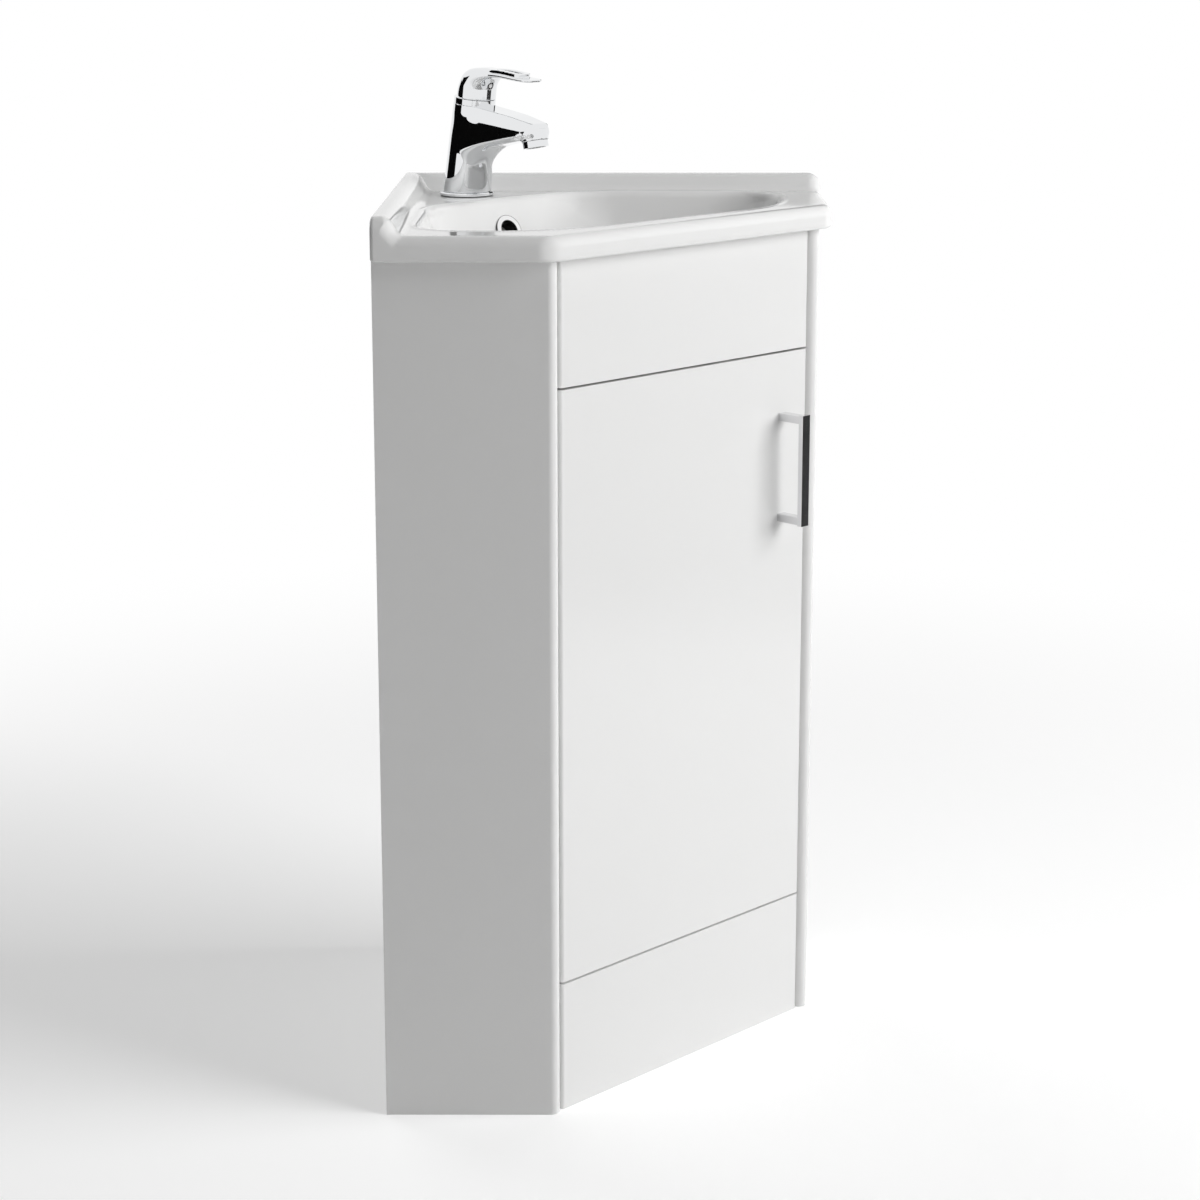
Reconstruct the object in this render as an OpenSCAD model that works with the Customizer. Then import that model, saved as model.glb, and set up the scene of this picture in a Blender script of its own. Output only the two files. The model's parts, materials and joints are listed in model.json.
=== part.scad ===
// Corner vanity unit: a five-sided cabinet with one door, a ceramic basin, a lever tap and a sprung waste.
// Millimetres. +Z is up, the door faces -Y and the room corner is at +Y. The origin is on the floor.

/* [Cabinet] */
// Length of the cabinet along each wall
wall_len = 396; // [380:1:420]
// Length of each short side that leaves a wall at right angles
return_len = 156; // [145:1:165]
// Height of the cabinet under the basin
cabinet_h = 772; // [700:1:850]
// Thickness of the sides, door, fascia, plinth and floor boards
board_t = 15; // [15:0.5:16]
// Thickness of the two back boards
back_t = 9; // [6:1:12]
// Height of the fixed plinth below the door
plinth_h = 120; // [100:1:140]
// Height of the fixed fascia above the door
fascia_h = 110; // [105:1:125]
// Gap above and below the door
door_gap = 2; // [1.5:0.5:3]
// Gap between the door's long edges and the rounded edges of the sides
side_gap = 1.5; // [1.5:0.1:2.5]
// How far the door's face sits behind the line through the outer corners
face_set = 5.6; // [5:0.1:7]

/* [Basin] */
// Height of the basin's rim above the cabinet
rim_h = 22; // [20:0.5:26]
// Height of the upstands above the deck
upstand_h = 16; // [12:0.5:22]
// Width of an upstand at its top
upstand_w = 15; // [12:0.5:18]
// Overhang of the rim beyond the two short sides
overhang = 12.5; // [8:0.5:16]
// Overhang of the rim in front of the door
front_overhang = 12; // [8:0.5:16]
// Depth of the bowl below the deck
bowl_depth = 118; // [105:1:120]
// Thickness of the bowl's wall
bowl_wall = 9; // [8:0.5:11]
// Thickness of the deck around the tap
deck_t = 12; // [11:0.5:14]
// Diameter of the tap hole
tap_hole_d = 35; // [34:0.5:36]
// Diameter of the overflow hole
overflow_d = 22; // [20:0.5:24]
// Diameter of the waste hole
waste_hole_d = 46; // [45:0.5:48]

/* [Door furniture] */
// Distance between the handle's screws
handle_centres = 96; // [64:32:128]
// Width of the handle's bar
handle_w = 10; // [8:0.5:12]
// How far the handle stands off the door
handle_reach = 30; // [26:0.5:36]
// Distance from the door's edge to the handle's centre line
handle_inset = 34; // [28:1:45]
// Distance from the top of the door to the handle's upper screw
handle_drop = 60; // [45:1:90]
// Distance from a door end to the nearest hinge
hinge_inset_z = 92; // [80:1:120]

/* [Tap] */
// Distance from the room corner to the tap, along the floor plan's centre line
tap_d = 90; // [86:0.5:96]
// Reach of the spout's tip from the tap's base centre
spout_reach = 104; // [98:1:112]
// Diameter of the tap's base ring
base_ring_d = 52; // [50:0.5:54]
// Forward lean of the tap's head in degrees
lean = 8; // [6:0.5:10]
// Height of the lever's pivot above the deck
pivot_h = 93.5; // [92:0.5:96]
// Lift of the lever from shut to fully open, in degrees
lift = 20; // [16:1:20]

/* [Hidden] */
$fn = 96;
root2 = sqrt(2);
over = 1;              // how far a cut runs past the face it leaves
hole_fit = 0.1;        // extra radius of a screw's or pin's hole
run_fit = 0.05;        // extra radius of a hole that turns on its pin
seat_gap = 0.3;        // gap between pieces that must not touch
grout = 0.2;           // gap at a butt joint of two boards
head_screw_r = 3.6;    // head of the screws that hold blocks and plates
head_screw_h = 2;

// Plan of the cabinet. d is a distance from the room corner towards the door, x is across.
corner_d = (wall_len + return_len) / root2;
face_d = corner_d - face_set;
inner_d = face_d - board_t;
nose_r = board_t / 2;
nose_x = (wall_len - return_len) / root2;
front_w = 2 * (nose_x - nose_r - side_gap);
total_d = face_d + handle_reach;
corner_y = total_d / 2;
fascia_z = cabinet_h - fascia_h;
door_z = plinth_h + door_gap;
door_h = fascia_z - door_gap - door_z;
door_edge_r = 3;

// Floor, rail and shelf of the cabinet
floor_lap = 6;
floor_z = door_z + floor_lap - board_t;
rail_w = 60;
rail_z = fascia_z + floor_lap - board_t;
stop_gap = 1.5;
carcass_d = inner_d - stop_gap;
shelf_up = 279;
shelf_z = floor_z + shelf_up;
shelf_back = 190;
shelf_set_back = 24;
shelf_front = carcass_d - shelf_set_back;
shelf_gap = 1;
shelf_pin_r = 2.5;
shelf_pin_us = [60, 118];
shelf_pin_deep = 8;
shelf_pin_out = 8;
service_w = 110;
service_z = 300;
service_h = 300;

// Corner blocks and wall brackets
block_h = 34;
block_from = 12;
block_to = 38;
block_pad = 8;
block_web = 14;
block_screw_at = 31;
block_screw_r = 1.9;
block_bite = 10;
block_step = 9;
block_zs = [38, fascia_z + 62];
bracket_u = 230;
bracket_z = cabinet_h - 72;
bracket_w = 30;
bracket_low = 40;
bracket_high = 26;
bracket_leaf = 18;
bracket_t = 2;
bracket_hole_r = 2.75;
bracket_hole_z = 10;
bracket_screw_r = 2;
bracket_screw_x = 9;
bracket_screw_z = -18;
bracket_bite = back_t - 2.2;

// Basin
deck_z = cabinet_h + rim_h;
basin_len = wall_len + overhang;
basin_front_d = face_d + front_overhang;
rim_round = 13;
rim_foot = 4;
plan_r = 26;
bowl_side = 33;
bowl_front = basin_len - 47;
bowl_diag = basin_front_d * root2 - 42;
bowl_back = 197;
bowl_floor_z = deck_z - bowl_depth;
bowl_lip = 12;
lip_flare = 4;
floor_r = 38;
waste_d = 240;
floor_back = 28;
floor_front = 24.5;
back_run = waste_d - floor_back - bowl_back / root2;
boss_r = 36;
boss_deep = 23;
duct_w = 20;
duct_wall = 6;

// Overflow and waste
waste_recess = 2.5;
overflow_drop = 30;
back_drop = bowl_depth - bowl_lip - floor_r;
back_slope = 90 - atan2(back_drop, back_run) - asin(floor_r / norm([back_drop, back_run]));
overflow_wall_d = bowl_back / root2 + (overflow_drop - bowl_lip) * tan(back_slope);
ring_r = overflow_d / 2 + 4;
ring_flange = 2.5;
ring_deep = 12;
tail_r = 21;
tail_len = 72;
flange_r = 31.5;
flange_t = 2.8;
way_r = 16.5;
upper_seal_t = 1.2;
lower_seal_t = 6;
waste_nut_h = 9;
relief_w = 2;
relief_deep = 0.8;
waste_fit = 0.3;
seat_r = 22;
seat_deep = 3.5;
flange_top = upper_seal_t + flange_t - waste_recess;
seat_z = flange_top - seat_deep;
spider_z = -34;
spider_h = 6;
stem_r = 4;
stem_low = 4;
plug_travel = 8;
plug_r = 21;
plug_edge = 1.2;
plug_t = 3.2;
plug_seal_t = 2;
plug_bite = 1.5;

// Tap: heights above the deck, and along the head from the lever's pivot
tap_y = corner_y - tap_d;
waist_r = 23;
waist_h = 8;
head_r = 20;
head_h = 24;
head_gap = 0.5;
head_lean_y = -pivot_h * tan(lean);
gasket_t = 0.8;
base_ring_h = 3;
base_ring_in = tap_hole_d / 2 - 1;
body_z = gasket_t + base_ring_h;
inlet_r = 5;
inlet_x = 8.5;
inlet_y = 6;
inlet_deep = 24;
stud_r = 4;
stud_y = -8;
stud_in = 20;
stud_below = 46;
washer_t = 3;
washer_r = 24;
nut_h = 7;
cartridge_r = 17;
cartridge_low = -41.5;
cartridge_top = -10.5;
neck_r = 13;
neck_top = -6;
carrier_r = 10;
carrier_low = -13.5;
carrier_top = 4;
collar_h = 5.5;
dome_r = 16.8;
dome_hole_r = 12;
cap_r = head_r - 0.2;
cap_z = 7;
blade_z = 27;
blade_rise = 3;
tip_y = -80;
spindle_w = 8;
spindle_low = -7;
spindle_top = 21;
index_z = 14.8;
index_r = 3.4;
grub_r = 2.5;
aerator_r = 12;
aerator_tilt = 12;
aerator_reach = spout_reach - 7;
aerator_bottom_z = 51;
housing_h = 12;
housing_in = 6;
housing_neck_r = 10.9;
housing_way_r = 9.4;

// Door furniture
handle_x = front_w / 2 - handle_inset;
handle_top_z = door_z + door_h - handle_drop;
handle_zs = [handle_top_z - handle_centres, handle_top_z];
handle_leg = 7;
handle_t = 5;
handle_end = 1;
handle_screw_r = 2;
handle_bite = 10;
bumper_r = 4;
bumper_t = stop_gap - seat_gap;
bumper_in = 22;

// Hinges: the pivot is inside the door's thickness, near its edge
pivot_in = 14;
pivot_back = 8;
swing_gap = 0.8;
pivot_x = -front_w / 2 + pivot_in;
pivot_y = corner_y - face_d + pivot_back;
pin_r = 1.5;
pin_len = 30.8;
cup_r = 17.5;
cup_off = 6.5;
cup_deep = 11.5;
cup_wall = 1;
cup_flange = 1.2;
cup_screw_r = 1.75;
cup_screw_z = 24;
cup_screw_in = 6;
cup_bite = 10;
arm_t = 2.5;
arm_h = 12;
eye_r = 3;
bend_r = 18.6;
bend_from = 38;
bend_to = 75;
reach_len = 30;
foot_len = 36;
foot_turn = 135;
arm_screw_r = 2;
arm_bite = 6;
plate_len = 38;
plate_t = 2;
plate_wing = 24;
plate_w = 14;
plate_screw_z = 16;
plate_screw_r = 1.9;
plate_bite = 11;
hinge_zs = [door_z + hinge_inset_z, door_z + door_h - hinge_inset_z];

white = "#f4f4f2";
carcass = "#efefec";
ceramic = "#f7f7f5";
chrome = "#c9ccd0";
steel = "#a9adb2";
rubber = "#2b2b2d";
plastic = "#dcdcd8";
index_grey = "#6b6e72";

// ---- Places -------------------------------------------------------------------------------------

// Puts the room corner at the origin, with x along the right-hand wall and -y along the left-hand wall
module at_corner() {
    translate([0, corner_y, 0]) rotate([0, 0, -45]) children();
}

// Puts the room corner at the origin without turning, so that y is minus the distance d
module from_corner() {
    translate([0, corner_y, 0]) children();
}

// Draws the children and their mirror image across the centre plane
module both_sides() {
    children();
    mirror([1, 0, 0]) children();
}

// Origin at the tap's base centre on the deck
module at_tap() {
    translate([0, tap_y, deck_z]) children();
}

// Origin at the lever's pivot, with z along the leaning head
module at_head() {
    at_tap() translate([0, head_lean_y, pivot_h]) rotate([lean, 0, 0]) children();
}

module at_waste() {
    translate([0, corner_y - waste_d, bowl_floor_z]) children();
}

// Origin at each hinge's pivot
module at_hinges() {
    for (z = hinge_zs) translate([pivot_x, pivot_y, z]) children();
}

// Cylinder along y, from y = 0 towards +y
module along_y(r, len) {
    rotate([-90, 0, 0]) cylinder(r = r, h = len);
}

// Cylinder along z between two heights
module cylinder_between(r, low, high) {
    translate([0, 0, low]) cylinder(r = r, h = high - low);
}

// Ring with a square section
module ring(outer, inner, h) {
    difference() {
        cylinder(r = outer, h = h);
        translate([0, 0, -over]) cylinder(r = inner, h = h + 2 * over);
    }
}

// Points of an arc
function arc(c, r, from, to, steps) =
    [for (i = [0:steps]) c + r * [cos(from + (to - from) * i / steps), sin(from + (to - from) * i / steps)]];

// ---- Cabinet ------------------------------------------------------------------------------------

// The cabinet's floor plan inside its sides and backs, cut off at a distance d from the corner
module inside_plan(front_d, gap) {
    intersection() {
        polygon([
            [back_t + gap, -(back_t + gap)],
            [wall_len - board_t - gap, -(back_t + gap)],
            [wall_len - board_t - gap, -(wall_len - board_t - gap)],
            [back_t + gap, -(wall_len - board_t - gap)]
        ]);
        rotate([0, 0, 45]) translate([-wall_len, -front_d]) square([2 * wall_len, front_d]);
    }
}

// One short side: flat, with its free edge rounded over its whole thickness
module return_board() {
    at_corner() translate([0, -wall_len, 0]) linear_extrude(cabinet_h) {
        square([return_len - nose_r, board_t]);
        translate([return_len - nose_r, nose_r]) circle(r = nose_r);
    }
}

module left_return_panel() {
    color(white) difference() {
        return_board();
        plate_holes();
        block_holes();
        shelf_pin_holes();
    }
}

module right_return_panel() {
    color(white) difference() {
        mirror([1, 0, 0]) return_board();
        mirror([1, 0, 0]) block_holes();
        mirror([1, 0, 0]) shelf_pin_holes();
    }
}

// A back board with a service opening beside the room corner, for pipes and waste
module back_board(from) {
    run = wall_len - board_t - grout - from;
    difference() {
        translate([from, -back_t, 0]) cube([run, back_t, cabinet_h]);
        translate([from - over, -back_t - over, service_z])
            cube([service_w - from + over, back_t + 2 * over, service_h]);
    }
}

module right_back_panel() {
    color(carcass) difference() {
        at_corner() back_board(0);
        bracket_holes();
    }
}

module left_back_panel() {
    color(carcass) difference() {
        mirror([1, 0, 0]) at_corner() back_board(back_t + grout);
        mirror([1, 0, 0]) bracket_holes();
    }
}

// Room that the door's hinged edge needs to swing in, as a cut between two heights
module swing_room(low, high) {
    translate([pivot_x, pivot_y, 0])
        cylinder_between(norm([pivot_in, board_t - pivot_back]) + swing_gap, low - over, high + over);
}

module base_panel() {
    color(carcass) difference() {
        at_corner() translate([0, 0, floor_z]) linear_extrude(board_t) inside_plan(carcass_d, grout);
        swing_room(floor_z, floor_z + board_t);
    }
}

// Rail behind the fascia's lower edge. It stiffens the front and the door closes against it.
module front_rail() {
    color(carcass) difference() {
        at_corner() translate([0, 0, rail_z]) linear_extrude(board_t) difference() {
            inside_plan(carcass_d, grout);
            rotate([0, 0, 45]) translate([-wall_len, rail_w - carcass_d]) square([2 * wall_len, wall_len]);
        }
        swing_room(rail_z, rail_z + board_t);
    }
}

module shelf() {
    color(carcass) at_corner() translate([0, 0, shelf_z]) linear_extrude(board_t) difference() {
        inside_plan(shelf_front, shelf_gap);
        rotate([0, 0, 45]) translate([-wall_len, -shelf_back]) square([2 * wall_len, wall_len]);
    }
}

// Places of the shelf's pins on one short side, from the inner face inwards
module at_shelf_pins() {
    for (u = shelf_pin_us)
        at_corner() translate([u, -(wall_len - board_t), shelf_z - shelf_pin_r - grout]) children();
}

module shelf_pin_holes() {
    at_shelf_pins() translate([0, -shelf_pin_deep, 0])
        along_y(shelf_pin_r + hole_fit, shelf_pin_deep + over);
}

module shelf_pins() {
    deep = shelf_pin_deep - grout;
    color(steel) both_sides() at_shelf_pins() {
        translate([0, -deep, 0]) along_y(shelf_pin_r, deep + shelf_pin_out);
        along_y(shelf_pin_r + 1.2, 1);
    }
}

// A board in the plane of the door, with its two long front edges rounded
module front_board(h) {
    r = door_edge_r;
    translate([-front_w / 2, -face_d, 0]) linear_extrude(h) {
        translate([0, r]) square([front_w, board_t - r]);
        translate([r, 0]) square([front_w - 2 * r, board_t]);
        for (x = [r, front_w - r]) translate([x, r]) circle(r = r);
    }
}

module fascia_panel() {
    color(white) difference() {
        from_corner() translate([0, 0, fascia_z]) front_board(fascia_h);
        both_sides() block_holes();
    }
}

module plinth_panel() {
    color(white) difference() {
        from_corner() front_board(plinth_h);
        both_sides() block_holes();
    }
}

// ---- Corner blocks ------------------------------------------------------------------------------

// Point in a block's frame, s along the inner face of the short side and h away from it
function on_side(s, h) = [(h - s) / root2, (h + s) / root2];

// Inner edge where the back of the front boards meets the inner face of the left side.
// Here x runs along the front board and y towards the room corner.
module at_block_edges() {
    edge_x = inner_d - root2 * (wall_len - board_t);
    for (z = block_zs) from_corner() translate([edge_x, -inner_d, z]) children();
}

// Places of a block's two screws, each with y square to the board it bites
module at_block_screws() {
    translate([block_screw_at, 0, block_h / 2]) children();
    side = on_side(block_screw_at, 0);
    translate([side[0], side[1], block_h / 2 + block_step]) rotate([0, 0, -45]) children();
}

module corner_blocks() {
    color(plastic) both_sides() at_block_edges() difference() {
        linear_extrude(block_h) polygon([
            [block_from, 0], [block_to, 0], [block_to, block_pad], [block_to - block_web, block_pad],
            on_side(block_to - block_web, block_pad), on_side(block_to, block_pad), on_side(block_to, 0),
            on_side(block_from, 0)
        ]);
        at_block_screws() translate([0, -over, 0]) along_y(block_screw_r + hole_fit, block_pad + 2 * over);
    }
}

module block_holes() {
    at_block_edges() at_block_screws()
        translate([0, -block_bite - over, 0]) along_y(block_screw_r + hole_fit, block_bite + 2 * over);
}

// Round-headed screw along y that bites below y = 0 and clamps a piece of the given thickness
module screw_y(r, bite, grip, head_r, head_h) {
    translate([0, -bite, 0]) along_y(r, bite + grip + over / 2);
    translate([0, grip, 0]) difference() {
        along_y(head_r, head_h);
        for (turn = [0, 90]) rotate([0, turn, 0])
            translate([-head_r * 0.6, head_h * 0.5, -0.4]) cube([head_r * 1.2, head_h, 0.8]);
    }
}

module block_screws() {
    color(steel) both_sides() at_block_edges() at_block_screws()
        screw_y(block_screw_r, block_bite - grout, block_pad, head_screw_r, head_screw_h);
}

// ---- Wall brackets ------------------------------------------------------------------------------

// Place of a bracket on the right-hand back board: x along the wall, y towards the wall
module at_bracket() {
    at_corner() translate([bracket_u, -back_t, bracket_z]) children();
}

module at_bracket_screws() {
    for (x = [-bracket_screw_x, bracket_screw_x]) translate([x, 0, bracket_screw_z]) children();
}

// Angle bracket. One leaf lies on the back board, and its hole takes the screw into the wall.
module wall_brackets() {
    color(steel) both_sides() at_bracket() difference() {
        union() {
            translate([-bracket_w / 2, -bracket_t, -bracket_low])
                cube([bracket_w, bracket_t, bracket_low + bracket_high]);
            translate([-bracket_w / 2, -bracket_leaf, -bracket_low])
                cube([bracket_w, bracket_leaf, bracket_t]);
        }
        translate([0, -bracket_t - over, bracket_hole_z])
            along_y(bracket_hole_r, bracket_t + 2 * over);
        at_bracket_screws() translate([0, -bracket_t - over, 0])
            along_y(bracket_screw_r + hole_fit, bracket_t + 2 * over);
    }
}

module bracket_holes() {
    at_bracket() {
        translate([0, -over, bracket_hole_z]) along_y(bracket_hole_r, back_t + 2 * over);
        at_bracket_screws() translate([0, -over, 0])
            along_y(bracket_screw_r + hole_fit, bracket_bite + grout + over);
    }
}

module bracket_screws() {
    color(steel) both_sides() at_bracket() at_bracket_screws() mirror([0, 1, 0])
        screw_y(bracket_screw_r, bracket_bite, bracket_t, head_screw_r, head_screw_h);
}

// ---- Door ---------------------------------------------------------------------------------------

module at_handle_screws() {
    for (z = handle_zs) from_corner() translate([handle_x, -face_d, z]) children();
}

module at_bumpers() {
    for (z = [door_z + bumper_r, door_z + door_h - bumper_r])
        from_corner() translate([front_w / 2 - bumper_in, -inner_d, z]) children();
}

module door_panel() {
    color(white) difference() {
        from_corner() translate([0, 0, door_z]) front_board(door_h);
        at_hinges() cup_pocket();
        at_handle_screws() translate([0, -over, 0]) along_y(handle_screw_r + hole_fit, board_t + 2 * over);
        at_hinges() at_cup_screws()
            translate([0, -cup_bite - over, 0]) along_y(cup_screw_r + hole_fit, cup_bite + 2 * over);
    }
}

// Bow handle of rectangular bar: a flat front and two legs that end on the door
module door_handle() {
    grip_h = handle_centres + handle_leg + 2 * handle_end;
    color(chrome) difference() {
        union() {
            from_corner() translate([handle_x - handle_w / 2, -face_d - handle_reach,
                    handle_top_z - handle_centres / 2 - grip_h / 2])
                cube([handle_w, handle_t, grip_h]);
            at_handle_screws() translate([-handle_w / 2, -handle_reach, -handle_leg / 2])
                cube([handle_w, handle_reach, handle_leg]);
        }
        at_handle_screws() translate([0, -handle_bite - over, 0])
            along_y(handle_screw_r + hole_fit, handle_bite + 2 * over);
    }
}

module handle_screws() {
    color(steel) at_handle_screws()
        screw_y(handle_screw_r, handle_bite, board_t, head_screw_r, head_screw_h);
}

module door_bumpers() {
    color(plastic) at_bumpers() along_y(bumper_r, bumper_t);
}

// ---- Hinges -------------------------------------------------------------------------------------

// Pocket that takes a hinge cup, bored from the door's back
module cup_pocket() {
    translate([cup_off, board_t - pivot_back - cup_deep, 0]) along_y(cup_r + hole_fit, cup_deep + over);
}

module at_cup_screws() {
    for (z = [-cup_screw_z, cup_screw_z])
        translate([cup_off + cup_screw_in, board_t - pivot_back, z]) children();
}

// Cup with its flange and the two holes that hold the pin
module hinge_cups() {
    back = board_t - pivot_back;
    color(steel) at_hinges() difference() {
        union() {
            translate([cup_off, back - cup_deep, 0]) along_y(cup_r, cup_deep + cup_flange);
            translate([cup_off + cup_screw_in - cup_screw_z / 3, back, -cup_screw_z * 1.25])
                cube([cup_screw_z / 1.5, cup_flange, cup_screw_z * 2.5]);
            translate([cup_off - cup_r - cup_wall, back, -pin_len / 2])
                cube([2 * (cup_r + cup_wall), cup_flange, pin_len]);
        }
        translate([cup_off, back - cup_deep + cup_wall, 0]) along_y(cup_r - cup_wall, cup_deep + cup_flange);
        translate([0, 0, -cup_r]) cylinder(r = pin_r, h = 2 * cup_r);
        at_cup_screws() translate([0, -over, 0]) along_y(cup_screw_r + hole_fit, cup_flange + 2 * over);
    }
}

module hinge_pins() {
    color(steel) at_hinges() translate([0, 0, -pin_len / 2]) cylinder(r = pin_r, h = pin_len);
}

module hinge_cup_screws() {
    color(steel) at_hinges() at_cup_screws()
        screw_y(cup_screw_r, cup_bite - grout, cup_flange, head_screw_r, head_screw_h);
}

// End of the swan neck's straight reach, where the foot begins
function neck_end() = bend_r * [cos(bend_to), sin(bend_to)] + reach_len * [-sin(bend_to), cos(bend_to)];

// End of the foot that lies on the plate
function foot_end() = neck_end() + foot_len * [cos(foot_turn), sin(foot_turn)];

// Unit normal of a line between two points, and the join of two such normals at a corner
function normal(p, q) = [p[1] - q[1], q[0] - p[0]] / norm(q - p);
function corner(m, n) = (m + n) / (1 + m * n);

// Outline of a strip of even thickness along a path
function strip(path, t) =
    let (last = len(path) - 1)
    let (runs = [for (i = [1:last]) normal(path[i - 1], path[i])])
    let (ends = concat([runs[0]], [for (i = [1:last - 1]) corner(runs[i - 1], runs[i])], [runs[last - 1]]))
    concat(path + ends * t / 2, [for (i = [last:-1:0]) path[i] - ends[i] * t / 2]);

// Plan of the swan neck: eye, straight, bend, reach and foot
module arm_plan() {
    difference() {
        union() {
            circle(r = eye_r);
            polygon(strip(
                concat([[0, 0]], arc([0, 0], bend_r, bend_from, bend_to, 8), [neck_end(), foot_end()]),
                arm_t
            ));
        }
        circle(r = pin_r + run_fit);
    }
}

// Distance from a hinge's pivot to the inner face of the short side
function side_distance() = wall_len - board_t - (face_d - pivot_back - pivot_x) / root2;
// Distance from the foot's centre line to that face
function foot_lift() = side_distance() + (neck_end()[0] + neck_end()[1]) / root2;

// Frame of a hinge's foot: x along the short side, y away from it, y = 0 on its inner face
module at_plate() {
    translate(neck_end()) rotate([0, 0, foot_turn]) translate([foot_len * 0.55, foot_lift(), 0])
        mirror([0, 1, 0]) children();
}

module hinge_arms() {
    color(steel) at_hinges() difference() {
        translate([0, 0, -arm_h / 2]) linear_extrude(arm_h) arm_plan();
        at_plate() translate([0, foot_lift() - arm_t, 0]) along_y(arm_screw_r + hole_fit, 2 * arm_t);
    }
}

// Mounting plate: a block under the arm's foot and two wings for the screws
module hinge_plates() {
    top = foot_lift() - arm_t / 2;
    color(steel) at_hinges() at_plate() difference() {
        union() {
            translate([-plate_len / 2, 0, -arm_h / 2]) cube([plate_len, top, arm_h]);
            translate([-plate_w / 2, 0, -plate_wing]) cube([plate_w, plate_t, 2 * plate_wing]);
        }
        translate([0, top - arm_bite - over, 0]) along_y(arm_screw_r + hole_fit, arm_bite + 2 * over);
        at_plate_screws() translate([0, -over, 0]) along_y(plate_screw_r + hole_fit, plate_t + 2 * over);
    }
}

module at_plate_screws() {
    for (z = [-plate_screw_z, plate_screw_z]) translate([0, 0, z]) children();
}

module plate_holes() {
    at_hinges() at_plate() at_plate_screws() translate([0, -plate_bite - over, 0])
        along_y(plate_screw_r + hole_fit, plate_bite + 2 * over);
}

module hinge_plate_screws() {
    color(steel) at_hinges() at_plate() at_plate_screws() 
        screw_y(plate_screw_r, plate_bite - grout, plate_t, head_screw_r, head_screw_h);
}

module hinge_arm_screws() {
    color(steel) at_hinges() at_plate() translate([0, foot_lift() - arm_t / 2, 0])
        screw_y(arm_screw_r, arm_bite - grout, arm_t, head_screw_r, head_screw_h);
}

// ---- Basin --------------------------------------------------------------------------------------

// Solid of revolution inside a hull: a disc with a rounded top edge and a rounded foot
module puck(h, top_r) {
    $fn = 32;
    rotate_extrude() translate([plan_r - top_r, h - top_r]) circle(r = top_r);
    rotate_extrude() translate([plan_r - rim_foot, rim_foot]) circle(r = rim_foot);
}

// Block of the basin's whole plan with rounded outer edges, cut flat where the walls are
module plan_block(h, top_r) {
    side_v = basin_len - plan_r;
    vertex_u = (basin_front_d - plan_r) * root2 - side_v;
    beyond = 2 * plan_r;
    at_corner() translate([0, 0, cabinet_h]) intersection() {
        hull() {
            for (p = [[vertex_u, side_v], [side_v, vertex_u], [-beyond, side_v], [side_v, -beyond],
                    [-beyond, -beyond]])
                translate([p[0], -p[1], 0]) puck(h, top_r);
        }
        translate([0, -2 * basin_len, 0]) cube([2 * basin_len, 2 * basin_len, h]);
    }
}

// Upstand along the right-hand wall: a flat top, a rounded shoulder, a slope and a hollow foot
module upstand() {
    shoulder = 5;
    hollow = 6;
    run = (upstand_h - shoulder / 2 - hollow / 2) * tan(30);
    foot = upstand_w - shoulder + shoulder * cos(30) + run + hollow * cos(30);
    at_corner() translate([0, 0, deck_z]) mirror([0, 1, 0]) rotate([90, 0, 90])
        linear_extrude(basin_len + over) polygon(concat(
            [[0, -over], [0, upstand_h]],
            arc([upstand_w - shoulder, upstand_h - shoulder], shoulder, 90, 30, 6),
            arc([foot, hollow], hollow, 210, 270, 6),
            [[foot, -over]]
        ));
}

// Rounds between the bowl's walls, each as [along one wall, along the other, radius]
function bowl_rounds(near_r, front_r, back_r) = [
    [bowl_side + near_r, bowl_front - near_r, near_r],
    [bowl_diag - front_r * root2 - (bowl_front - front_r), bowl_front - front_r, front_r],
    [bowl_side + back_r, bowl_back + back_r * root2 - (bowl_side + back_r), back_r]
];

// The bowl as a solid: its outline at the deck blended into a flat floor, grown by a wall
module bowl(wall, top) {
    lobe = [bowl_side + 79, bowl_front - 100];
    back_mid = (waste_d - floor_back) / root2;
    front_mid = (waste_d + floor_front) / root2;
    at_corner() hull() {
        for (c = bowl_rounds(50, 40, 28)) for (p = [[c[0], c[1]], [c[1], c[0]]])
            translate([p[0], -p[1], deck_z - bowl_lip])
                cylinder(r = c[2] + wall, h = bowl_lip + top, $fn = 64);
        for (p = [lobe, [lobe[1], lobe[0]], [back_mid, back_mid], [front_mid, front_mid]])
            translate([p[0], -p[1], bowl_floor_z + floor_r]) sphere(r = floor_r + wall, $fn = 48);
    }
}

// The mouth of the bowl, opened out where it meets the deck
module bowl_mouth() {
    at_corner() hull()
        for (c = bowl_rounds(50, 40, 28)) for (p = [[c[0], c[1]], [c[1], c[0]]])
            translate([p[0], -p[1], deck_z - lip_flare])
                cylinder(r1 = c[2], r2 = c[2] + lip_flare + over, h = lip_flare + over, $fn = 64);
}

// Box on the centre plane between two distances from the room corner and two depths below the deck
module duct_box(d0, d1, low, high, w) {
    from_corner() translate([-w / 2, -d1, deck_z - low]) cube([w, d1 - d0, low - high]);
}

// Cast duct from the overflow down behind the bowl and under it to the waste hole
module duct_cover() {
    w = duct_w + 2 * duct_wall;
    hull() {
        duct_box(116, 150, 48, 12, w + 4);
        duct_box(136, 170, bowl_depth + 4, bowl_depth - 12, w);
        duct_box(waste_d - 30, waste_d, bowl_depth + boss_deep, bowl_depth + 4, w);
    }
}

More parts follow.
